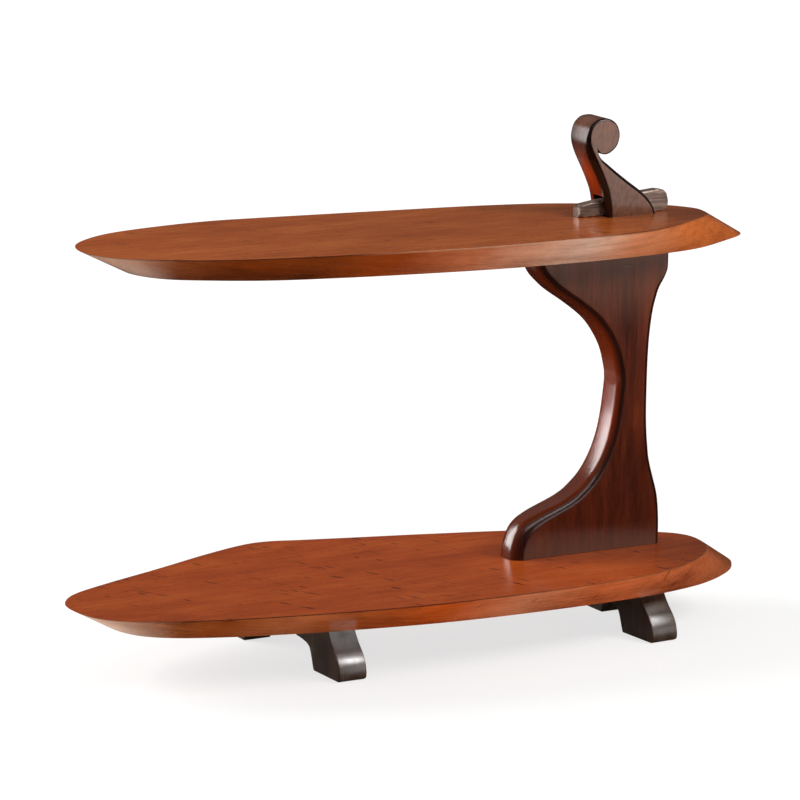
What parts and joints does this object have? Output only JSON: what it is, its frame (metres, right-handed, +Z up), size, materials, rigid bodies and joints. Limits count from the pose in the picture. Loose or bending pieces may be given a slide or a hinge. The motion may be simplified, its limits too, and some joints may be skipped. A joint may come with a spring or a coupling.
{
  "type": "side table",
  "caption": "Two-board side table: long raked-edge boards, one above the other, on a hollowed column whose scrolled tenon passes through the upper board and is locked by a loose key; low bracket feet",
  "frame": {"origin": "On the floor, under the middle of the whole table's outline seen from above", "axes": "X along the boards, from their free ends toward the column; Y away from the front; Z up"},
  "size_m": [0.8609, 0.3846, 0.5954],
  "materials": {
    "board_wood": "red-brown mahogany, semi-gloss lacquer",
    "dark_wood": "dark red-brown stained hardwood, semi-gloss lacquer",
    "foot_wood": "near-black brown stained hardwood, satin",
    "screw_metal": "plain turned, slightly dulled"
  },
  "bodies": {
    "table": {"upper_board": "board_wood", "lower_board": "board_wood", "column": "dark_wood", "toe_block": "dark_wood", "shoulder_block": "dark_wood", "foot_near_left": "foot_wood", "foot_near_right": "foot_wood", "foot_far_left": "foot_wood", "foot_far_right": "foot_wood", "foot_screw_near_left_1": "screw_metal", "foot_screw_near_left_2": "screw_metal", "foot_screw_near_right_1": "screw_metal", "foot_screw_near_right_2": "screw_metal", "foot_screw_far_left_1": "screw_metal", "foot_screw_far_left_2": "screw_metal", "foot_screw_far_right_1": "screw_metal", "foot_screw_far_right_2": "screw_metal", "column_screw_1": "screw_metal", "column_screw_2": "screw_metal", "column_screw_3": "screw_metal", "column_screw_4": "screw_metal"},
    "key": {"wedge_key": "dark_wood"}
  },
  "joints": [
    {"name": "key_slide", "type": "slide", "parent": "table", "child": "key", "axis": [1, 0, 0], "range_m": [0, 0.078]}
  ]
}
